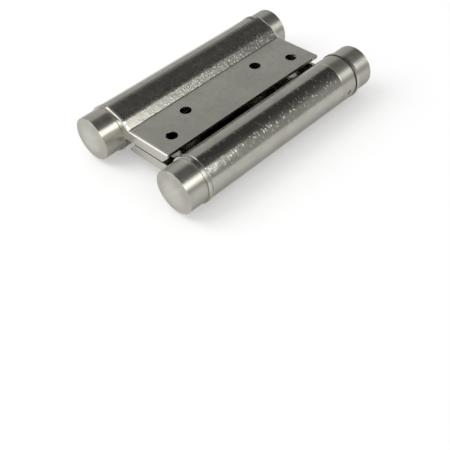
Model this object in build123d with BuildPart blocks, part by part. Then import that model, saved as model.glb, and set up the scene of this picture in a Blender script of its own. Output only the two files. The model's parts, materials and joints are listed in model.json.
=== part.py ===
"""Double action spring hinge, closed and lying on its barrels.

X runs across the two barrels, Y along them, Z out through the leaves.
The origin is half way between the barrel axes and half way up the leaves.
Every piece is drawn for the left barrel, and the hinge has two of each:
the right barrel's is the same piece after half a turn about the Y axis.
"""
import os
from math import atan2, cos, hypot, radians, sin

from build123d import *

os.makedirs("parts", exist_ok=True)

# Overall sizes, in millimetres
axis_spacing = 54.0
closed_thickness = 12.0
leaf_height = 100.0
flat_between_bends = 24.0

# Leaves: formed sheet with a wrap over the barrel and an ear at each end
leaf_sheet = 1.5
leaf_edge_gap = 2.75
leaf_end_round = 1.5
leaf_corner_round = 1.2
bend_inside_round = 0.8
wrap_clearance = 0.3
wrap_edge_angle = 90.0
wrap_bevel_angle = 6.5
wrap_crown_angle = 72.0
ramp_angle = 46.5
shoulder_round = 6.0
flange_gap = 0.3
flange_square = 4.3
flange_slant = 4.0
flange_root_round = 1.5

# Screw holes in the leaves, sunk from the side that faces the web
screw_hole_d = 5.5
screw_sink_d = 8.0
screw_sink_angle = 90.0
end_hole_from_edge = 8.5
inner_hole_from_edge = 17.0
end_hole_from_end = 10.5
hole_step = 16.5

# Centre web: a plate rolled into a tube along each side
tube_d = 22.0
tube_wall = 1.5
web_sheet = 1.5
web_plate_setback = 2.25
web_root_round = 1.2
roll_seam_angle = -58.0
roll_seam_width = 0.35
roll_seam_depth = 1.0

# Spindles and end caps
spindle_d = 8.0
spindle_point = 0.6
cap_d = 21.0
cap_length = 11.0
cap_dome = 1.0
cap_rim_round = 0.4
cap_foot_round = 0.3
cap_bore_depth = 7.0
cap_bore_spare = 0.3

# Tension collars
collar_length = 9.15
collar_spigot = 6.0
collar_hole_d = 2.0
collar_hole_depth = 4.0
collar_hole_first = 88.0
collar_hole_pitch = 42.0
collar_hole_count = 3

# Washers under the ears
plain_washer_inset = 0.1
plain_washer_t = 0.85
collar_washer_inset = 0.8
collar_washer_t = 0.5

# Torsion springs and the plugs that anchor them
spring_mean_d = 13.8
spring_wire_d = 2.4
spring_turns = 9
spring_leg = 3.0
spring_bend_swell = 0.05
plug_length = 12.0
leg_hole_depth = 5.0

# Clearances
running_fit = 0.08
press_fit = 0.02
end_play = 0.05
seam_play = 0.15
leg_hole_play = 0.2
leg_clearance = 0.4
edge_break = 0.3

# Worked out from the sizes above
barrel_x = -axis_spacing / 2
leaf_end = leaf_height / 2
tube_r = tube_d / 2
leaf_reach = axis_spacing - tube_r - leaf_edge_gap
tube_bore_r = tube_r - tube_wall
spindle_r = spindle_d / 2
cap_r = cap_d / 2
flat_out = closed_thickness / 2
flat_in = flat_out - leaf_sheet
wrap_in = tube_r + wrap_clearance
wrap_out = wrap_in + leaf_sheet
foot_x = (axis_spacing - flat_between_bends) / 2
ramp_out = foot_x * cos(radians(ramp_angle)) + flat_out * sin(radians(ramp_angle))
wrap_bevel_start = wrap_edge_angle - wrap_bevel_angle
leg_r = spring_mean_d / 2
leg_hole_r = spring_wire_d / 2 + leg_hole_play

# Stations along the barrel, from the plain end to the collar end
ear_inner = leaf_end - leaf_sheet
tube_plain_end = -ear_inner + end_play + plain_washer_t + end_play
collar_washer_top = ear_inner - end_play
collar_top = collar_washer_top - collar_washer_t - end_play
collar_foot = collar_top - collar_length
tube_collar_end = collar_foot - seam_play
spigot_end = collar_foot - collar_spigot
plug_top = tube_plain_end + plug_length
spring_foot = plug_top + spring_leg
spring_top = spigot_end - leg_clearance - spring_leg
spring_pitch = (spring_top - spring_foot) / spring_turns


def across(y, x=barrel_x):
    """Plane across a barrel at station y; a positive extrusion runs towards the plain end."""
    return Plane(origin=(x, y, 0), x_dir=(1, 0, 0), z_dir=(0, -1, 0))


def polar(radius, angle):
    """Point at a radius and an angle, in degrees, from a barrel's axis."""
    return (radius * cos(radians(angle)), radius * sin(radians(angle)))


def crossing(angle_a, out_a, angle_b, out_b):
    """Where two lines cross, each given by its normal's angle and its distance from the axis."""
    a, b = radians(angle_a), radians(angle_b)
    across_x = (out_a * sin(b) - out_b * sin(a)) / sin(b - a)
    across_z = (out_b * cos(a) - out_a * cos(b)) / sin(b - a)
    return (across_x, across_z)


def foot_and_shoulder(depth):
    """Two bends of a leaf's section: flat to ramp and ramp to crown, at a depth in the sheet."""
    foot = crossing(ramp_angle, ramp_out - depth, 90, flat_out - depth)
    shoulder = crossing(ramp_angle, ramp_out - depth, wrap_crown_angle, wrap_out - depth)
    return foot, shoulder


def outer_line():
    """Outer line of a leaf, from its free edge to the bevel of its wrap."""
    crown = polar(wrap_out, wrap_crown_angle)
    Polyline((leaf_reach, flat_out), *foot_and_shoulder(0), crown)
    wrap = CenterArc((0, 0), wrap_out, wrap_crown_angle, wrap_bevel_start - wrap_crown_angle)
    Line(wrap @ 1, polar(wrap_in, wrap_edge_angle))


def round_bends(sketch, depth):
    """Round both bends of a leaf's section at a depth in the sheet."""
    foot, shoulder = foot_and_shoulder(depth)
    fillet(sketch.vertices().sort_by_distance(foot)[0], radius=bend_inside_round + depth)
    fillet(sketch.vertices().sort_by_distance(shoulder)[0], radius=shoulder_round - depth)


def make_leaf():
    """Leaf: flat, ramp and wrap in one sheet, end flanges with ears, four screw holes."""
    with BuildPart() as leaf:
        with BuildSketch(across(leaf_end)) as section:
            with BuildLine():
                outer_line()
                back_turn = wrap_crown_angle - wrap_edge_angle
                back = CenterArc((0, 0), wrap_in, wrap_edge_angle, back_turn)
                foot, shoulder = foot_and_shoulder(leaf_sheet)
                Polyline(back @ 1, shoulder, foot, (leaf_reach, flat_in), (leaf_reach, flat_out))
            make_face()
            round_bends(section, 0)
            round_bends(section, leaf_sheet)
        extrude(amount=leaf_height)
        for y in (leaf_end, -ear_inner):
            with BuildSketch(across(y)) as flange:
                with BuildLine():
                    outer_line()
                    Polyline(
                        polar(wrap_in, wrap_edge_angle),
                        (0, flange_gap),
                        (leaf_reach - flange_slant, flange_gap),
                        (leaf_reach, flange_square),
                        (leaf_reach, flat_out),
                    )
                make_face()
                Circle(wrap_in)
                round_bends(flange, 0)
                flange_root = flange.vertices().sort_by_distance((wrap_in, flange_gap))[0]
                fillet(flange_root, radius=flange_root_round)
                Circle(spindle_r + press_fit, mode=Mode.SUBTRACT)
            extrude(amount=leaf_sheet)

        def on_outer_end(edge):
            place = edge.center()
            at_end = abs(abs(place.Y) - leaf_end) < end_play
            outside = hypot(place.X - barrel_x, place.Z) > wrap_out - end_play
            return at_end and outside and place.Z > flat_out - end_play

        fillet(leaf.edges().filter_by(on_outer_end), radius=leaf_end_round)
        with BuildSketch(Plane.XY) as outline:
            with Locations((barrel_x + leaf_reach - leaf_height / 2, 0)):
                Rectangle(leaf_height, leaf_height)
            fillet(outline.vertices().group_by(Axis.X)[-1], radius=leaf_corner_round)
        extrude(amount=wrap_out, both=True, mode=Mode.INTERSECT)
        end_hole_y = leaf_end - end_hole_from_end
        inner_hole_y = end_hole_y - hole_step
        end_hole_x = barrel_x + leaf_reach - end_hole_from_edge
        inner_hole_x = barrel_x + leaf_reach - inner_hole_from_edge
        for x, y in ((end_hole_x, end_hole_y), (inner_hole_x, inner_hole_y)):
            for end in (-1, 1):
                with Locations(Plane(origin=(x, end * y, flat_in), z_dir=(0, 0, -1))):
                    CounterSinkHole(
                        radius=screw_hole_d / 2,
                        counter_sink_radius=screw_sink_d / 2,
                        depth=leaf_sheet,
                        counter_sink_angle=screw_sink_angle,
                    )
    return leaf.part


def make_spindle():
    """Spindle: runs through both ears and into both caps."""
    reach = leaf_end + cap_bore_depth - cap_bore_spare
    with BuildPart() as spindle:
        with BuildSketch(across(reach)):
            Circle(spindle_r)
        extrude(amount=2 * reach)
        chamfer(spindle.edges().filter_by(GeomType.CIRCLE), length=spindle_point)
    return spindle.part


def make_cap(end):
    """Turned end cap with a shallow dome, pressed on the spindle outside an ear."""
    seat = end * leaf_end
    rim = end * (leaf_end + cap_length - cap_dome)
    crown = end * (leaf_end + cap_length)
    bore_end = end * (leaf_end + cap_bore_depth)
    bore_r = spindle_r + press_fit
    with BuildPart() as cap:
        with BuildSketch(Plane.XY) as section:
            with BuildLine():
                Polyline(
                    (0, bore_end), (bore_r, bore_end), (bore_r, seat), (cap_r, seat), (cap_r, rim)
                )
                ThreePointArc((cap_r, rim), polar_on_dome(end), (0, crown))
                Line((0, crown), (0, bore_end))
            make_face()
            fillet(section.vertices().sort_by_distance((cap_r, rim))[0], radius=cap_rim_round)
            fillet(section.vertices().sort_by_distance((cap_r, seat))[0], radius=cap_foot_round)
        revolve(axis=Axis.Y)
    with BuildPart() as placed:
        with Locations((barrel_x, 0, 0)):
            add(cap.part)
    return placed.part


def polar_on_dome(end):
    """Point half way out on the dome of a cap at one end."""
    dome_r = (cap_r**2 + cap_dome**2) / (2 * cap_dome)
    half_angle = atan2(cap_r, dome_r - cap_dome) / 2
    drop = dome_r * (1 - cos(half_angle))
    return (dome_r * sin(half_angle), end * (leaf_end + cap_length - drop))


def make_washer(y_top, thickness, inset):
    """Flat washer between an ear and what turns under it, inset from the tube's outside."""
    with BuildPart() as washer:
        with BuildSketch(across(y_top)):
            Circle(tube_r - inset)
            Circle(spindle_r + running_fit, mode=Mode.SUBTRACT)
        extrude(amount=thickness)
    return washer.part


def make_collar():
    """Tension collar: turns on the spindle, with a spigot in the tube and bar holes in its rim."""
    with BuildPart() as collar:
        with BuildSketch(across(collar_top)):
            Circle(tube_r)
        extrude(amount=collar_length)
        chamfer(collar.edges().filter_by(GeomType.CIRCLE), length=edge_break)
        with BuildSketch(across(collar_foot)):
            Circle(tube_bore_r - running_fit)
        extrude(amount=collar_spigot)
        with BuildSketch(across(collar_top)):
            Circle(spindle_r + running_fit)
        extrude(amount=collar_length + collar_spigot, mode=Mode.SUBTRACT)
        for index in range(collar_hole_count):
            angle = collar_hole_first + index * collar_hole_pitch
            u, z = polar(tube_r - collar_hole_depth, angle)
            mouth = Plane(
                origin=(barrel_x + u, collar_foot + collar_length / 2, z),
                x_dir=(0, 1, 0),
                z_dir=(cos(radians(angle)), 0, sin(radians(angle))),
            )
            with BuildSketch(mouth):
                Circle(collar_hole_d / 2)
            extrude(amount=2 * collar_hole_depth, mode=Mode.SUBTRACT)
        with BuildSketch(across(spigot_end + leg_hole_depth)):
            with Locations(polar(leg_r, collar_hole_first)):
                Circle(leg_hole_r)
        extrude(amount=leg_hole_depth, mode=Mode.SUBTRACT)
    return collar.part


def make_plug():
    """Anchor plug: fixed in the plain end of the tube, guides it on the spindle."""
    with BuildPart() as plug:
        with BuildSketch(across(plug_top)):
            Circle(tube_bore_r - press_fit)
            Circle(spindle_r + running_fit, mode=Mode.SUBTRACT)
        extrude(amount=plug_length)
        chamfer(plug.edges().filter_by(GeomType.CIRCLE), length=edge_break)
        with BuildSketch(across(plug_top)):
            with Locations((leg_r, 0)):
                Circle(leg_hole_r)
        extrude(amount=leg_hole_depth, mode=Mode.SUBTRACT)
    return plug.part


def make_spring():
    """Torsion spring: a coil round the spindle with a leg along the barrel at each end."""
    wire_r = spring_wire_d / 2
    height = spring_top - spring_foot
    with BuildPart() as spring:
        with BuildLine() as coil:
            Helix(pitch=spring_pitch, height=height, radius=leg_r)
        with BuildSketch(Plane(origin=coil.line @ 0, z_dir=coil.line % 0)):
            Circle(wire_r)
        sweep(path=coil.line, is_frenet=True)
        for end, way in ((coil.line @ 0, -1), (coil.line @ 1, 1)):
            with Locations(end):
                Sphere(wire_r + spring_bend_swell)
            with BuildSketch(Plane(origin=end, z_dir=(0, 0, way))):
                Circle(wire_r)
            extrude(amount=spring_leg if way > 0 else spring_leg + leg_hole_depth - leg_clearance)
    with BuildPart() as placed:
        with Locations(Location((barrel_x, spring_foot, 0), (-90, 0, 0))):
            add(spring.part)
    return placed.part


def make_web():
    """Centre web: one sheet, its plate on the mid plane and a rolled tube along each side."""
    tube_length = tube_collar_end - tube_plain_end
    barrel_axes = ((barrel_x, 0), (-barrel_x, 0))

    def on_plain_rim(edge):
        return edge.radius > tube_bore_r and abs(edge.center().Y - tube_plain_end) < end_play

    with BuildPart() as web:
        with BuildSketch(across(tube_collar_end, 0)) as plate:
            with Locations(*barrel_axes):
                Circle(tube_r)
            Rectangle(axis_spacing, web_sheet)
            roots = plate.vertices().filter_by(lambda corner: abs(corner.Y) < web_sheet)
            fillet(roots, radius=web_root_round)
            with Locations(*barrel_axes):
                Circle(tube_r - tube_wall / 2, mode=Mode.SUBTRACT)
        extrude(amount=tube_length - web_plate_setback)
        with BuildSketch(across(tube_collar_end, 0)):
            with Locations(*barrel_axes):
                Circle(tube_r)
                Circle(tube_bore_r, mode=Mode.SUBTRACT)
            for x, turn in ((barrel_x, 0), (-barrel_x, 180)):
                with Locations(Location((x, 0), roll_seam_angle + turn)):
                    with Locations((tube_r, 0)):
                        Rectangle(2 * roll_seam_depth, roll_seam_width, mode=Mode.SUBTRACT)
        extrude(amount=tube_length)
        rims = web.edges().filter_by(GeomType.CIRCLE).filter_by(on_plain_rim)
        chamfer(rims, length=edge_break)
    return web.part


def write(piece, name, turn=0):
    """Write one piece, after a turn about the Y axis."""
    with BuildPart() as placed:
        add(piece, rotation=(0, turn, 0))
    placed.part.label = name
    export_step(placed.part, f"parts/{name}.step")


barrel_pieces = {
    "leaf": make_leaf(),
    "spindle": make_spindle(),
    "plain_cap": make_cap(-1),
    "collar_cap": make_cap(1),
    "plain_washer": make_washer(tube_plain_end - end_play, plain_washer_t, plain_washer_inset),
    "collar_washer": make_washer(collar_washer_top, collar_washer_t, collar_washer_inset),
    "tension_collar": make_collar(),
    "anchor_plug": make_plug(),
    "spring": make_spring(),
}

write(make_web(), "centre_web")
for side, turn in (("left", 0), ("right", 180)):
    for name, piece in barrel_pieces.items():
        write(piece, f"{side}_{name}", turn)
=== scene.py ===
"""Double action spring hinge: plated finishes, floor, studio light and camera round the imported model."""
import json
from math import cos, pi, radians, sin

import bpy
from mathutils import Matrix, Vector


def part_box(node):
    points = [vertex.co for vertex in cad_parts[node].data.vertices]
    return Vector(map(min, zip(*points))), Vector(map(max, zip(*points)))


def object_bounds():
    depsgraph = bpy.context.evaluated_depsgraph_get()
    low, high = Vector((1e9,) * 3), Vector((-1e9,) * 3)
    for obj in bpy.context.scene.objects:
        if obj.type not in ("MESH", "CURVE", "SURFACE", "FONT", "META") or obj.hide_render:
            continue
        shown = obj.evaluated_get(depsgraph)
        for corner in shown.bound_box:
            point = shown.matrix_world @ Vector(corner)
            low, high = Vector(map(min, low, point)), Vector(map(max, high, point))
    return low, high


bl_info = {
    "name": "Double Action Spring Hinge",
    "version": (1, 0, 0),
    "blender": (4, 5, 0),
    "location": "View3D > Sidebar > Hinge",
    "description": "Finishes a closed double action spring hinge and sets it on a pale studio floor",
    "category": "Object",
}

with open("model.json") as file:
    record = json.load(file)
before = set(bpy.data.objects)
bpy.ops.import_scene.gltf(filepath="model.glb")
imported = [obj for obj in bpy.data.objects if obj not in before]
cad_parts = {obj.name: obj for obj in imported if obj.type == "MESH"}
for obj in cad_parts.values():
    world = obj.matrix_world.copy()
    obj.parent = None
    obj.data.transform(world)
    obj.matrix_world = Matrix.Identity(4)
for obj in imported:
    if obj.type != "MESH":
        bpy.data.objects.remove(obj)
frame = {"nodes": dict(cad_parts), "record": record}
cad_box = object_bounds()
floor_z = cad_box[0].z
barrel_x = sum(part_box("right_spindle"), Vector()).x / 2
SIDES = ("left", "right")
MM_PER_M = 1000

# Sockets of a Mix node that are for colours: first and second input, and output
MIX_FIRST = 6
MIX_SECOND = 7
MIX_RESULT = 2

# Distances from the middle, in metres, between which the plating turns from its own colour
# to a brighter one that is painted on the end faces as a highlight
CAP_ENDS = (0.0605, 0.0609)
LEAF_ENDS = (0.0488, 0.0498)

# Places across the left leaf, in metres: where its dark crown ends, where its flat begins,
# and the stretch round its ramp that is slightly bowed
CROWN_FADE = (-0.019, -0.0165)
FLAT_FADE = (-0.0125, -0.0115)
RAMP_BOW = (-0.021, -0.012)

# Share of the leaf's grain and crystals that is left on the crown and on the flat
CROWN_GRAIN = 0.4
FLAT_GRAIN = 0.15

# Scale of the leaf's grain along X, Y and Z, where less than 1 draws it out round the bends
GRAIN_STRETCH = (0.6, 1.0, 0.6)

# Patches of dull bloom in the plating: their size in metres, and the noise values they fade in between
BLOOM_SIZE = 0.012
BLOOM_FADE = (0.4, 0.62)

# Middle values of a noise pattern, which are spread out over a whole range
NOISE_MIDDLE = (0.35, 0.65)

# Least and greatest roughness of each metal, and the size of its smoother and rougher patches in metres
TUBE_ROUGHNESS = (0.1, 0.16)
TUBE_PATCH = 0.006
LEAF_ROUGHNESS = (0.2, 0.28)
LEAF_PATCH = 0.003
TURNED_ROUGHNESS = (0.3, 0.36)
TURNED_PATCH = 0.0006
BARE_ROUGHNESS = (0.26, 0.42)
BARE_PATCH = 0.0005
OILED_ROUGHNESS = (0.2, 0.38)
OILED_PATCH = 0.0015

# Stains: their sizes in metres in the bare steel and the oiled wire, how much of the bare steel's
# own colour is left in them, and the colour of those in the oil
BARE_STAIN = 0.003
BARE_STAIN_PART = 0.8
OIL_STAIN = 0.002
OIL_STAIN_COLOUR = (0.2, 0.17, 0.14, 1.0)

# Crystals in the plating: their scale along X, Y and Z, which draws them out round the barrels,
# and, as parts of a crystal's size, how ragged they are and how far their cones reach
CRYSTAL_STRETCH = (0.5, 1.0, 0.5)
CRYSTAL_RAGGED = 0.6
CRYSTAL_REACH = 0.6

# Share of the cells that hold a crystal
TUBE_CRYSTALS = 0.22
LEAF_CRYSTALS = 0.5

# Low waves in the rolled tubes and fine grain on the drawn wire: size and depth in metres
WAVE_SIZE = 0.0025
WAVE_DEPTH = 0.000016
WIRE_GRAIN = 0.0003
WIRE_DEPTH = 0.000006

# Turned plating: the share of a turned line's depth that the plating leaves, and how far
# its highlights are drawn out across the lines, a quarter turn from the tangent
PLATED_LINE = 0.25
DRAWN_OUT = 0.9
QUARTER_TURN = 0.25

# Tones inside the light tent: angle round the barrels in degrees, and brightness.
# Angles run from the right-hand floor, over the top, to the left-hand floor.
TENT_TONES = (
    (0, 0.38),
    (20, 0.32),
    (36, 0.28),
    (50, 0.12),
    (62, 0.10),
    (78, 0.055),
    (112, 0.05),
    (118, 0.09),
    (123, 0.37),
    (134, 0.43),
    (158, 0.46),
    (180, 0.46),
)
HALF_TURN = 180.0

# Number of flat panels in the tent's curve
TENT_STEPS = 48

# Where the strip light fades in and out round the tent, in degrees
STRIP_START = (20, 36)
STRIP_STOP = (45, 59)

# The strip's end slants between these degrees. In metres along the tent, its lower edge fades out
# over the short end's stretch and its upper edge over the long end's, and a dim tail fades beyond.
STRIP_SLANT = (45, 49)
SHORT_END = (0.38, 0.43)
LONG_END = (0.43, 0.51)
STRIP_TAIL = (0.43, 0.8)
TAIL_SHARE = 0.02

# Where the window in front fades in and out round the tent, in degrees, and along it, in metres
WINDOW_START = (114, 124)
WINDOW_STOP = (170, 179)
WINDOW_END = (-0.8, -0.55)

# Light that fills the front half of the tent: its end in metres, and its brightness
FILL_END = (0.05, 0.3)
FILL_TONE = 0.12

# Nearest distance that the camera sees, in metres
NEAR_CLIP = 0.01


class HingeFinishSettings(bpy.types.PropertyGroup):
    """Colours and surface sizes of the hinge's metals."""

    plating: bpy.props.FloatVectorProperty(
        name="Plating",
        description="Colour of the zinc plating on the web, leaves, caps and collars",
        default=(0.62, 0.605, 0.535, 1.0),
        size=4,
        subtype="COLOR",
        min=0.0,
        max=1.0,
    )
    dull_plating: bpy.props.FloatVectorProperty(
        name="Dull Plating",
        description="Colour of the plating where it lies in patches of a duller bloom",
        default=(0.56, 0.545, 0.475, 1.0),
        size=4,
        subtype="COLOR",
        min=0.0,
        max=1.0,
    )
    # Painted highlight: a brighter plating colour for the end faces, standing in for their brighter
    # reflection
    painted_end_highlight: bpy.props.FloatVectorProperty(
        name="Painted End Highlight",
        description="Brighter colour of the plating, painted on the end faces as a highlight",
        default=(0.73, 0.715, 0.65, 1.0),
        size=4,
        subtype="COLOR",
        min=0.0,
        max=1.0,
    )
    bare_steel: bpy.props.FloatVectorProperty(
        name="Bare Steel",
        description="Colour of the spindles, washers and plugs",
        default=(0.46, 0.45, 0.43, 1.0),
        size=4,
        subtype="COLOR",
        min=0.0,
        max=1.0,
    )
    spring_steel: bpy.props.FloatVectorProperty(
        name="Spring Steel",
        description="Colour of the oiled spring wire",
        default=(0.27, 0.26, 0.25, 1.0),
        size=4,
        subtype="COLOR",
        min=0.0,
        max=1.0,
    )
    mottle_size: bpy.props.FloatProperty(
        name="Mottle Size",
        description="Width of one grain of the mottle on the rolled tubes and on the leaves",
        default=0.0005,
        unit="LENGTH",
        min=0.00005,
    )
    mottle_depth: bpy.props.FloatProperty(
        name="Mottle Depth",
        description="Depth of the mottle on the rolled tubes",
        default=0.00003,
        unit="LENGTH",
        min=0.0,
    )
    crystal_size: bpy.props.FloatProperty(
        name="Crystal Size",
        description="Width of one crystal in the plating",
        default=0.0007,
        unit="LENGTH",
        min=0.00005,
    )
    crystal_depth: bpy.props.FloatProperty(
        name="Crystal Depth",
        description="Height of a crystal in the plating",
        default=0.00005,
        unit="LENGTH",
        min=0.0,
    )
    grain_depth: bpy.props.FloatProperty(
        name="Grain Depth",
        description="Depth of the grain that runs round the bends of the leaves",
        default=0.00006,
        unit="LENGTH",
        min=0.0,
    )
    bow_height: bpy.props.FloatProperty(
        name="Bow Height",
        description="Height of the slight bow that forming leaves in the ramps of the leaves",
        default=0.0001,
        unit="LENGTH",
        min=0.0,
    )
    burr_width: bpy.props.FloatProperty(
        name="Burr Width",
        description="Width of the burr round a screw hole",
        default=0.0005,
        unit="LENGTH",
        min=0.00001,
    )
    burr_height: bpy.props.FloatProperty(
        name="Burr Height",
        description="Height of the burr round a screw hole",
        default=0.00004,
        unit="LENGTH",
        min=0.0,
    )
    line_width: bpy.props.FloatProperty(
        name="Line Width",
        description="Width of a line that turning leaves in the metal",
        default=0.00025,
        unit="LENGTH",
        min=0.00002,
    )
    line_depth: bpy.props.FloatProperty(
        name="Line Depth",
        description="Depth of a line that turning leaves in the metal",
        default=0.000004,
        unit="LENGTH",
        min=0.0,
    )


class HingeStageSettings(bpy.types.PropertyGroup):
    """Floor, light and camera."""

    floor_tone: bpy.props.FloatProperty(
        name="Floor Tone",
        description="How pale the floor is",
        default=0.8,
        subtype="FACTOR",
        min=0.0,
        max=1.0,
    )
    floor_glow: bpy.props.FloatProperty(
        name="Floor Glow",
        description="What the floor adds to its own tone for the camera, to come out white",
        default=0.34,
        subtype="FACTOR",
        min=0.0,
        max=1.0,
    )
    mirrored_share: bpy.props.FloatProperty(
        name="Mirrored Share",
        description="How much of the floor's glow shows in the metal",
        default=0.15,
        subtype="FACTOR",
        min=0.0,
        max=1.0,
    )
    floor_width: bpy.props.FloatProperty(
        name="Floor Width",
        description="Width of the square floor",
        default=8.0,
        unit="LENGTH",
        min=1.0,
    )
    sky_level: bpy.props.FloatProperty(
        name="Sky Level",
        description="Brightness of the even light from all sides",
        default=0.6,
        subtype="FACTOR",
        min=0.0,
        max=1.0,
    )
    strip_level: bpy.props.FloatProperty(
        name="Strip Level",
        description="Brightness of the strip light in the tent",
        default=3.0,
        min=0.0,
    )
    window_level: bpy.props.FloatProperty(
        name="Window Level",
        description="Brightness of the window in the tent, in front of the hinge",
        default=1.15,
        min=0.0,
    )
    tent_radius: bpy.props.FloatProperty(
        name="Tent Radius",
        description="Distance of the tent's wall from the hinge",
        default=0.9,
        unit="LENGTH",
        min=0.3,
    )
    tent_length: bpy.props.FloatProperty(
        name="Tent Length",
        description="Length of the tent along the barrels",
        default=3.0,
        unit="LENGTH",
        min=0.5,
    )
    lamp_power: bpy.props.FloatProperty(
        name="Lamp Power",
        description="Power of the soft lamp over the hinge",
        default=7.0,
        unit="POWER",
        min=0.0,
    )
    lamp_width: bpy.props.FloatProperty(
        name="Lamp Width",
        description="Width of the soft lamp over the hinge",
        default=1.0,
        unit="LENGTH",
        min=0.05,
    )
    lamp_place: bpy.props.FloatVectorProperty(
        name="Lamp Place",
        description="Where the soft lamp stands",
        default=(-0.6, -0.6, 1.0),
        subtype="TRANSLATION",
        unit="LENGTH",
    )
    camera_place: bpy.props.FloatVectorProperty(
        name="Camera Place",
        description="Where the camera stands",
        default=(0.210648, -0.202435, 0.211764),
        subtype="TRANSLATION",
        unit="LENGTH",
    )
    camera_aim: bpy.props.FloatVectorProperty(
        name="Camera Aim",
        description="Point that the camera looks at",
        default=(0.055937, -0.059471, 0.0),
        subtype="TRANSLATION",
        unit="LENGTH",
    )
    camera_roll: bpy.props.FloatProperty(
        name="Camera Roll",
        description="Turn of the camera about its line of sight",
        default=radians(-4.38),
        subtype="ANGLE",
    )
    camera_lens: bpy.props.FloatProperty(
        name="Camera Lens",
        description="Focal length in millimetres on a 36 mm wide sensor",
        default=60.92,
        min=10.0,
    )


def node(tree, kind, inputs=None, **settings):
    """Add a node with these settings, and give its sockets their values or links."""
    made = tree.nodes.new(kind)
    for name, value in settings.items():
        setattr(made, name, value)
    for name, value in (inputs or {}).items():
        if isinstance(value, bpy.types.NodeSocket):
            tree.links.new(value, made.inputs[name])
        else:
            made.inputs[name].default_value = value
    return made


def maths(tree, operation, first, second=0.0):
    """Output of a Math node."""
    return node(tree, "ShaderNodeMath", {0: first, 1: second}, operation=operation).outputs[0]


def length(tree, first, second):
    """Length of the line that has these two parts at right angles."""
    squares = [maths(tree, "POWER", part, 2.0) for part in (first, second)]
    return maths(tree, "SQRT", maths(tree, "ADD", *squares))


def remap(tree, value, low, high, to_low, to_high):
    """Output of a Map Range node, clamped."""
    ends = {"Value": value, "From Min": low, "From Max": high, "To Min": to_low, "To Max": to_high}
    return node(tree, "ShaderNodeMapRange", ends).outputs["Result"]


def between(tree, value, start, stop):
    """1 between two fades, and 0 outside them."""
    rise = remap(tree, value, *start, 0.0, 1.0)
    fall = remap(tree, value, *stop, 1.0, 0.0)
    return maths(tree, "MULTIPLY", rise, fall)


def spread(tree, pattern, low, high):
    """Values from low to high, out of the middle values of a noise pattern."""
    return remap(tree, pattern, *NOISE_MIDDLE, low, high)


def blend_colours(tree, amount, first, second):
    """Colour between two, by an amount from 0 to 1."""
    inputs = {"Factor": amount, MIX_FIRST: first, MIX_SECOND: second}
    return node(tree, "ShaderNodeMix", inputs, data_type="RGBA").outputs[MIX_RESULT]


def bump(tree, height, depth, under=None):
    """Normal of a surface raised by height times depth in metres."""
    inputs = {"Strength": 1.0, "Distance": depth, "Height": height}
    if under is not None:
        inputs["Normal"] = under
    return node(tree, "ShaderNodeBump", inputs).outputs["Normal"]


def object_place(tree):
    """Place on the piece itself, in metres."""
    return node(tree, "ShaderNodeTexCoord").outputs["Object"]


def place_parts(tree):
    """X, Y and Z of the place on the piece."""
    return node(tree, "ShaderNodeSeparateXYZ", {"Vector": object_place(tree)}).outputs


def scaled_place(tree, scale):
    """Place on the piece after this scale along X, Y and Z."""
    return node(tree, "ShaderNodeMapping", {"Vector": object_place(tree), "Scale": scale}).outputs["Vector"]


def noise(tree, size, detail=2.0, roughness=0.5, place=None):
    """Noise with grains of about this size in metres."""
    if place is None:
        place = object_place(tree)
    inputs = {"Vector": place, "Scale": 1.0 / size, "Detail": detail, "Roughness": roughness}
    return node(tree, "ShaderNodeTexNoise", inputs).outputs["Fac"]


def turned_lines(tree, width):
    """Noise drawn out into rings round the barrel that the piece belongs to."""
    parts = place_parts(tree)
    off_axis = maths(tree, "SUBTRACT", maths(tree, "ABSOLUTE", parts["X"]), barrel_x)
    rings = {"X": length(tree, off_axis, parts["Z"]), "Y": parts["Y"]}
    place = node(tree, "ShaderNodeCombineXYZ", rings).outputs["Vector"]
    return noise(tree, width, detail=3.0, roughness=0.6, place=place)


def crystals(tree, size, share):
    """Height of small cones in this share of a pattern's cells, which are drawn out round the barrels."""
    place = scaled_place(tree, CRYSTAL_STRETCH)
    shift = node(tree, "ShaderNodeTexNoise", {"Vector": place, "Scale": 2.0 / size, "Detail": 2.0})
    reach = [CRYSTAL_RAGGED * size] * 3
    inputs = {0: shift.outputs["Color"], 1: reach, 2: place}
    moved = node(tree, "ShaderNodeVectorMath", inputs, operation="MULTIPLY_ADD").outputs["Vector"]
    cells = node(tree, "ShaderNodeTexVoronoi", {"Vector": moved, "Scale": 1.0 / size}).outputs
    chance = node(tree, "ShaderNodeSeparateColor", {"Color": cells["Color"]}).outputs["Red"]
    cone = remap(tree, cells["Distance"], 0.0, CRYSTAL_REACH, 1.0, 0.0)
    return maths(tree, "MULTIPLY", cone, maths(tree, "LESS_THAN", chance, share))


def leaf_place(tree):
    """X on the left leaf, and the distance along it from the middle.

    The right leaf is the left one after half a turn about Y, so X changes sign there.
    """
    parts = place_parts(tree)
    out = maths(tree, "MULTIPLY", parts["X"], maths(tree, "SIGN", parts["Z"]))
    return out, maths(tree, "ABSOLUTE", parts["Y"])


def hole_rims(tree):
    """1 at the rims of a leaf's screw holes, and 0 a burr's width out from them."""
    out, along = leaf_place(tree)
    rims = 0.0
    for mount in frame["record"]["mounts"]:
        if mount["kind"] == "bolt_pattern" and mount["name"].startswith("left"):
            hole_x = mount["pos_m"][0]
            hole_y = mount["dims"]["spacing_y_mm"] / MM_PER_M / 2
            radius = mount["dims"]["hole_r_mm"] / MM_PER_M
            offsets = [maths(tree, "SUBTRACT", out, hole_x), maths(tree, "SUBTRACT", along, hole_y)]
            rim = remap(tree, length(tree, *offsets), radius, radius + finishes().burr_width, 1.0, 0.0)
            rims = maths(tree, "MAXIMUM", rims, rim)
    return rims


def finishes():
    """The settings of the hinge's metals."""
    return bpy.context.scene.hinge_finishes


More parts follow.
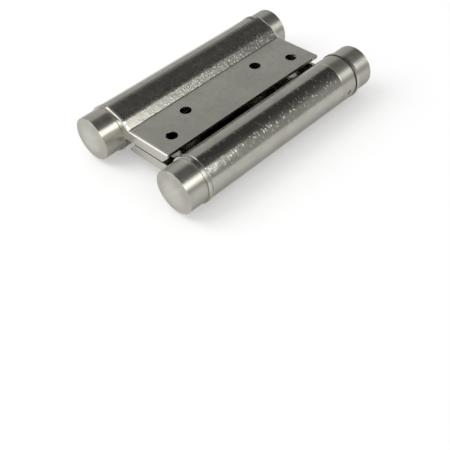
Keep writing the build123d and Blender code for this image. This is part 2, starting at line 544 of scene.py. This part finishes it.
def metal(name, colour, roughness, normal):
    """Metal whose colour, roughness and normal come from functions that add their own nodes."""
    material = bpy.data.materials.new(name)
    material.use_nodes = True
    tree = material.node_tree
    shader = tree.nodes["Principled BSDF"]
    shader.inputs["Metallic"].default_value = 1.0
    tree.links.new(colour(tree), shader.inputs["Base Color"])
    tree.links.new(roughness(tree), shader.inputs["Roughness"])
    tree.links.new(normal(tree), shader.inputs["Normal"])
    return material


def plating_colour(tree):
    """Plating with patches of duller bloom."""
    patches = noise(tree, BLOOM_SIZE, detail=4.0, roughness=0.6)
    amount = remap(tree, patches, *BLOOM_FADE, 0.0, 1.0)
    return blend_colours(tree, amount, finishes().plating, finishes().dull_plating)


def painted_bright_ends(ends):
    """Function for a plating colour that is painted brighter towards both ends of the hinge, as a painted
    highlight on the end faces.
    """

    def colour(tree):
        # Painted highlight: the plating turns brighter towards both ends of the hinge
        amount = remap(tree, leaf_place(tree)[1], *ends, 0.0, 1.0)
        return blend_colours(tree, amount, plating_colour(tree), finishes().painted_end_highlight)

    return colour


def rolled_plating():
    """Plating on the rolled tubes: low waves, a fine mottle and a few small crystals."""

    def roughness(tree):
        return spread(tree, noise(tree, TUBE_PATCH, detail=4.0, roughness=0.65), *TUBE_ROUGHNESS)

    def normal(tree):
        waves = bump(tree, noise(tree, WAVE_SIZE), WAVE_DEPTH)
        grain = noise(tree, finishes().mottle_size, detail=3.0, roughness=0.55)
        mottle = bump(tree, grain, finishes().mottle_depth, waves)
        cones = crystals(tree, finishes().crystal_size, TUBE_CRYSTALS)
        return bump(tree, cones, finishes().crystal_depth, mottle)

    return metal("rolled_plating", plating_colour, roughness, normal)


def leaf_plating():
    """Satin plating on the formed leaves: bowed ramps, a grain round the bends, crystals and burrs."""

    def roughness(tree):
        return spread(tree, noise(tree, LEAF_PATCH, detail=4.0, roughness=0.65), *LEAF_ROUGHNESS)

    def normal(tree):
        out = leaf_place(tree)[0]
        on_flat = remap(tree, out, *FLAT_FADE, 1.0, FLAT_GRAIN)
        formed = maths(tree, "MULTIPLY", on_flat, remap(tree, out, *CROWN_FADE, CROWN_GRAIN, 1.0))
        off_middle = remap(tree, out, *RAMP_BOW, -1.0, 1.0)
        arch = maths(tree, "SUBTRACT", 1.0, maths(tree, "POWER", off_middle, 2.0))
        bow = bump(tree, arch, finishes().bow_height)
        stretched = scaled_place(tree, GRAIN_STRETCH)
        lines = noise(tree, finishes().mottle_size, detail=3.0, roughness=0.6, place=stretched)
        centred = maths(tree, "SUBTRACT", lines, 0.5)
        grain = bump(tree, maths(tree, "MULTIPLY", centred, formed), finishes().grain_depth, bow)
        cones = crystals(tree, finishes().crystal_size, LEAF_CRYSTALS)
        speckled = bump(tree, maths(tree, "MULTIPLY", cones, formed), finishes().crystal_depth, grain)
        return bump(tree, hole_rims(tree), finishes().burr_height, speckled)

    # The leaves' end flanges carry the painted highlight of the brighter ends
    return metal("leaf_plating", painted_bright_ends(LEAF_ENDS), roughness, normal)


def turned_plating():
    """Bright plating on turned pieces, with rings left by the lathe."""

    def roughness(tree):
        return spread(tree, turned_lines(tree, TURNED_PATCH), *TURNED_ROUGHNESS)

    def normal(tree):
        lines = turned_lines(tree, finishes().line_width)
        return bump(tree, lines, PLATED_LINE * finishes().line_depth)

    # The caps' end faces carry the painted highlight of the brighter ends
    material = metal("turned_plating", painted_bright_ends(CAP_ENDS), roughness, normal)
    shader = material.node_tree.nodes["Principled BSDF"]
    shader.inputs["Anisotropic"].default_value = DRAWN_OUT
    shader.inputs["Anisotropic Rotation"].default_value = QUARTER_TURN
    around = node(material.node_tree, "ShaderNodeTangent", direction_type="RADIAL", axis="Y")
    material.node_tree.links.new(around.outputs["Tangent"], shader.inputs["Tangent"])
    return material


def bare_steel():
    """Unplated steel of the pins, washers and plugs, with darker stains and turned lines."""

    def colour(tree):
        amount = spread(tree, noise(tree, BARE_STAIN, detail=4.0, roughness=0.6), 0.0, 1.0)
        darker = [BARE_STAIN_PART * part for part in finishes().bare_steel[:3]] + [1.0]
        return blend_colours(tree, amount, finishes().bare_steel, darker)

    def roughness(tree):
        return spread(tree, turned_lines(tree, BARE_PATCH), *BARE_ROUGHNESS)

    def normal(tree):
        return bump(tree, turned_lines(tree, finishes().line_width), finishes().line_depth)

    return metal("bare_steel", colour, roughness, normal)


def oiled_spring_steel():
    """Dark drawn wire with a film of oil."""

    def colour(tree):
        amount = spread(tree, noise(tree, OIL_STAIN, detail=4.0, roughness=0.6), 0.0, 1.0)
        return blend_colours(tree, amount, finishes().spring_steel, OIL_STAIN_COLOUR)

    def roughness(tree):
        return spread(tree, noise(tree, OILED_PATCH, detail=3.0), *OILED_ROUGHNESS)

    def normal(tree):
        return bump(tree, noise(tree, WIRE_GRAIN, detail=3.0), WIRE_DEPTH)

    return metal("oiled_spring_steel", colour, roughness, normal)


def dress(name, material):
    """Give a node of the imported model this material."""
    mesh = frame["nodes"][name].data
    mesh.materials.clear()
    mesh.materials.append(material)


def dress_pair(piece, material):
    """Dress a barrel's piece on both sides."""
    for side in SIDES:
        dress(f"{side}_{piece}", material)


class HINGE_OT_centre_web(bpy.types.Operator):
    """Give the rolled centre web its mottled plating"""

    bl_idname = "hinge.centre_web"
    bl_label = "Centre Web"

    def execute(self, context):
        dress("centre_web", rolled_plating())
        return {"FINISHED"}


class HINGE_OT_leaves(bpy.types.Operator):
    """Give both leaves their satin plating"""

    bl_idname = "hinge.leaves"
    bl_label = "Leaves"

    def execute(self, context):
        dress_pair("leaf", leaf_plating())
        return {"FINISHED"}


class HINGE_OT_caps_and_collars(bpy.types.Operator):
    """Give the four end caps and the two tension collars their turned plating"""

    bl_idname = "hinge.caps_and_collars"
    bl_label = "Caps and Collars"

    def execute(self, context):
        material = turned_plating()
        for piece in ("plain_cap", "collar_cap", "tension_collar"):
            dress_pair(piece, material)
        return {"FINISHED"}


class HINGE_OT_pins_and_washers(bpy.types.Operator):
    """Give the spindles, washers and anchor plugs their bare steel"""

    bl_idname = "hinge.pins_and_washers"
    bl_label = "Pins and Washers"

    def execute(self, context):
        material = bare_steel()
        for piece in ("spindle", "plain_washer", "collar_washer", "anchor_plug"):
            dress_pair(piece, material)
        return {"FINISHED"}


class HINGE_OT_springs(bpy.types.Operator):
    """Give both torsion springs their oiled wire"""

    bl_idname = "hinge.springs"
    bl_label = "Springs"

    def execute(self, context):
        dress_pair("spring", oiled_spring_steel())
        return {"FINISHED"}


def stage_mesh(name, corners, faces, material):
    """Mesh that belongs to the stage."""
    mesh = bpy.data.meshes.new(name)
    mesh.from_pydata(corners, [], faces)
    mesh.materials.append(material)
    made = bpy.data.objects.new(name, mesh)
    bpy.context.scene.collection.objects.link(made)
    return made


def empty_material(name):
    """Material with only its output node: the tree and that node."""
    material = bpy.data.materials.new(name)
    material.use_nodes = True
    material.node_tree.nodes.clear()
    return material, material.node_tree, node(material.node_tree, "ShaderNodeOutputMaterial")


def seen(tree, mirrored_share=1.0):
    """1 for rays from the camera, this share for rays that metal or glass sends on, else 0."""
    path = node(tree, "ShaderNodeLightPath").outputs
    mirrored = maths(tree, "MAXIMUM", path["Is Glossy Ray"], path["Is Transmission Ray"])
    dimmed = maths(tree, "MULTIPLY", mirrored, mirrored_share)
    return maths(tree, "MAXIMUM", path["Is Camera Ray"], dimmed)


def make_floor(stage):
    """Pale floor under the hinge, which keeps its shadow."""
    material, tree, output = empty_material("pale_floor")
    tone = (stage.floor_tone, stage.floor_tone, stage.floor_tone, 1.0)
    paper = node(tree, "ShaderNodeBsdfDiffuse", {"Color": tone})
    glow_strength = maths(tree, "MULTIPLY", seen(tree, stage.mirrored_share), stage.floor_glow)
    glow = node(tree, "ShaderNodeEmission", {"Strength": glow_strength})
    both = node(tree, "ShaderNodeAddShader", {0: paper.outputs[0], 1: glow.outputs[0]})
    tree.links.new(both.outputs[0], output.inputs["Surface"])
    half = stage.floor_width / 2
    corners = [
        (-half, -half, floor_z),
        (half, -half, floor_z),
        (half, half, floor_z),
        (-half, half, floor_z),
    ]
    stage_mesh("floor", corners, [(0, 1, 2, 3)], material)


def tent_tone(tree, angle):
    """Colour of the tent's wall at this angle."""
    ramp = node(tree, "ShaderNodeValToRGB", {"Fac": maths(tree, "DIVIDE", angle, HALF_TURN)})
    stops = ramp.color_ramp.elements
    while len(stops) < len(TENT_TONES):
        stops.new(1.0)
    for stop, (at, tone) in zip(stops, TENT_TONES):
        stop.position = at / HALF_TURN
        stop.color = (tone, tone, tone, 1.0)
    return ramp.outputs["Color"]


def strip_light(tree, angle, along, level):
    """Brightness of the strip light, which ends on a slant and leaves a dim tail."""
    fade_start, fade_stop = [remap(tree, angle, *STRIP_SLANT, *pair) for pair in zip(SHORT_END, LONG_END)]
    bright = remap(tree, along, fade_start, fade_stop, level, TAIL_SHARE * level)
    tail = remap(tree, along, *STRIP_TAIL, 1.0, 0.0)
    lengthwise = maths(tree, "MULTIPLY", bright, tail)
    return maths(tree, "MULTIPLY", between(tree, angle, STRIP_START, STRIP_STOP), lengthwise)


def window_light(tree, angle, along, level):
    """Brightness of the window at the front end of the tent."""
    front = remap(tree, along, *WINDOW_END, level, 0.0)
    return maths(tree, "MULTIPLY", between(tree, angle, WINDOW_START, WINDOW_STOP), front)


def tent_glow(tree, stage):
    """The tent's own tones, with a strip light, a window and a light that fills its front half."""
    parts = place_parts(tree)
    up = maths(tree, "SUBTRACT", parts["Z"], floor_z)
    angle = maths(tree, "MULTIPLY", maths(tree, "ARCTAN2", up, parts["X"]), HALF_TURN / pi)
    strip = strip_light(tree, angle, parts["Y"], stage.strip_level)
    window = window_light(tree, angle, parts["Y"], stage.window_level)
    fill = remap(tree, parts["Y"], *FILL_END, FILL_TONE, 0.0)
    level = maths(tree, "ADD", fill, maths(tree, "ADD", strip, window))
    wall = node(tree, "ShaderNodeEmission", {"Color": tent_tone(tree, angle)}).outputs[0]
    lights = node(tree, "ShaderNodeEmission", {"Strength": level}).outputs[0]
    return node(tree, "ShaderNodeAddShader", {0: wall, 1: lights}).outputs[0]


def make_tent(stage):
    """Curved tent over the hinge that only its metal mirrors."""
    material, tree, output = empty_material("tent")
    tree.links.new(tent_glow(tree, stage), output.inputs["Surface"])
    corners = []
    for step in range(TENT_STEPS + 1):
        angle = pi * step / TENT_STEPS
        across, up = stage.tent_radius * cos(angle), stage.tent_radius * sin(angle)
        for end in (-0.5, 0.5):
            corners.append((across, end * stage.tent_length, floor_z + up))
    faces = [(2 * step, 2 * step + 1, 2 * step + 3, 2 * step + 2) for step in range(TENT_STEPS)]
    tent = stage_mesh("tent", corners, faces, material)
    tent.visible_camera = False
    tent.visible_diffuse = False
    tent.visible_shadow = False


def make_world(stage):
    """White for the camera and for mirrored rays, and an even soft light for the rest."""
    world = bpy.data.worlds.new("studio")
    world.use_nodes = True
    tree = world.node_tree
    level = remap(tree, seen(tree), 0.0, 1.0, stage.sky_level, 1.0)
    tree.links.new(level, tree.nodes["Background"].inputs["Strength"])
    tree.nodes["Background"].inputs["Color"].default_value = (1.0, 1.0, 1.0, 1.0)
    bpy.context.scene.world = world


def make_lamp(stage):
    """Large soft lamp over the hinge, which its metal doesn't mirror."""
    light = bpy.data.lights.new("soft_lamp", "AREA")
    light.energy = stage.lamp_power
    light.size = stage.lamp_width
    lamp = bpy.data.objects.new("soft_lamp", light)
    lamp.location = stage.lamp_place
    lamp.rotation_euler = (-Vector(stage.lamp_place)).to_track_quat("-Z", "Y").to_euler()
    lamp.visible_glossy = False
    bpy.context.scene.collection.objects.link(lamp)


def make_camera(stage):
    """Camera at the photograph's place."""
    lens = bpy.data.cameras.new("camera")
    lens.lens = stage.camera_lens
    lens.clip_start = NEAR_CLIP
    camera = bpy.data.objects.new("camera", lens)
    place = Vector(stage.camera_place)
    look = (Vector(stage.camera_aim) - place).to_track_quat("-Z", "Y").to_matrix().to_4x4()
    camera.matrix_world = Matrix.Translation(place) @ look @ Matrix.Rotation(stage.camera_roll, 4, "Z")
    bpy.context.scene.collection.objects.link(camera)
    bpy.context.scene.camera = camera


class HINGE_OT_stage(bpy.types.Operator):
    """Build the floor, the light tent, the lamp, the world and the camera"""

    bl_idname = "hinge.stage"
    bl_label = "Stage"

    def execute(self, context):
        stage = context.scene.hinge_stage
        make_floor(stage)
        make_tent(stage)
        make_world(stage)
        make_lamp(stage)
        make_camera(stage)
        context.scene.view_settings.view_transform = "Standard"
        return {"FINISHED"}


STEP_OPERATORS = (
    HINGE_OT_centre_web,
    HINGE_OT_leaves,
    HINGE_OT_caps_and_collars,
    HINGE_OT_pins_and_washers,
    HINGE_OT_springs,
    HINGE_OT_stage,
)


class HINGE_PT_sidebar(bpy.types.Panel):
    """Steps that finish the hinge, in order"""

    bl_idname = "HINGE_PT_sidebar"
    bl_label = "Spring Hinge"
    bl_space_type = "VIEW_3D"
    bl_region_type = "UI"
    bl_category = "Hinge"

    def draw(self, context):
        for operator in STEP_OPERATORS:
            self.layout.operator(operator.bl_idname)


CLASSES = (HingeFinishSettings, HingeStageSettings, *STEP_OPERATORS, HINGE_PT_sidebar)


def register():
    for made in CLASSES:
        bpy.utils.register_class(made)
    bpy.types.Scene.hinge_finishes = bpy.props.PointerProperty(type=HingeFinishSettings)
    bpy.types.Scene.hinge_stage = bpy.props.PointerProperty(type=HingeStageSettings)


def unregister():
    del bpy.types.Scene.hinge_stage
    del bpy.types.Scene.hinge_finishes
    for made in reversed(CLASSES):
        bpy.utils.unregister_class(made)


def main():
    """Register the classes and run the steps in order."""
    register()
    bpy.ops.hinge.centre_web()
    bpy.ops.hinge.leaves()
    bpy.ops.hinge.caps_and_collars()
    bpy.ops.hinge.pins_and_washers()
    bpy.ops.hinge.springs()
    bpy.ops.hinge.stage()


if __name__ == "__main__":
    main()
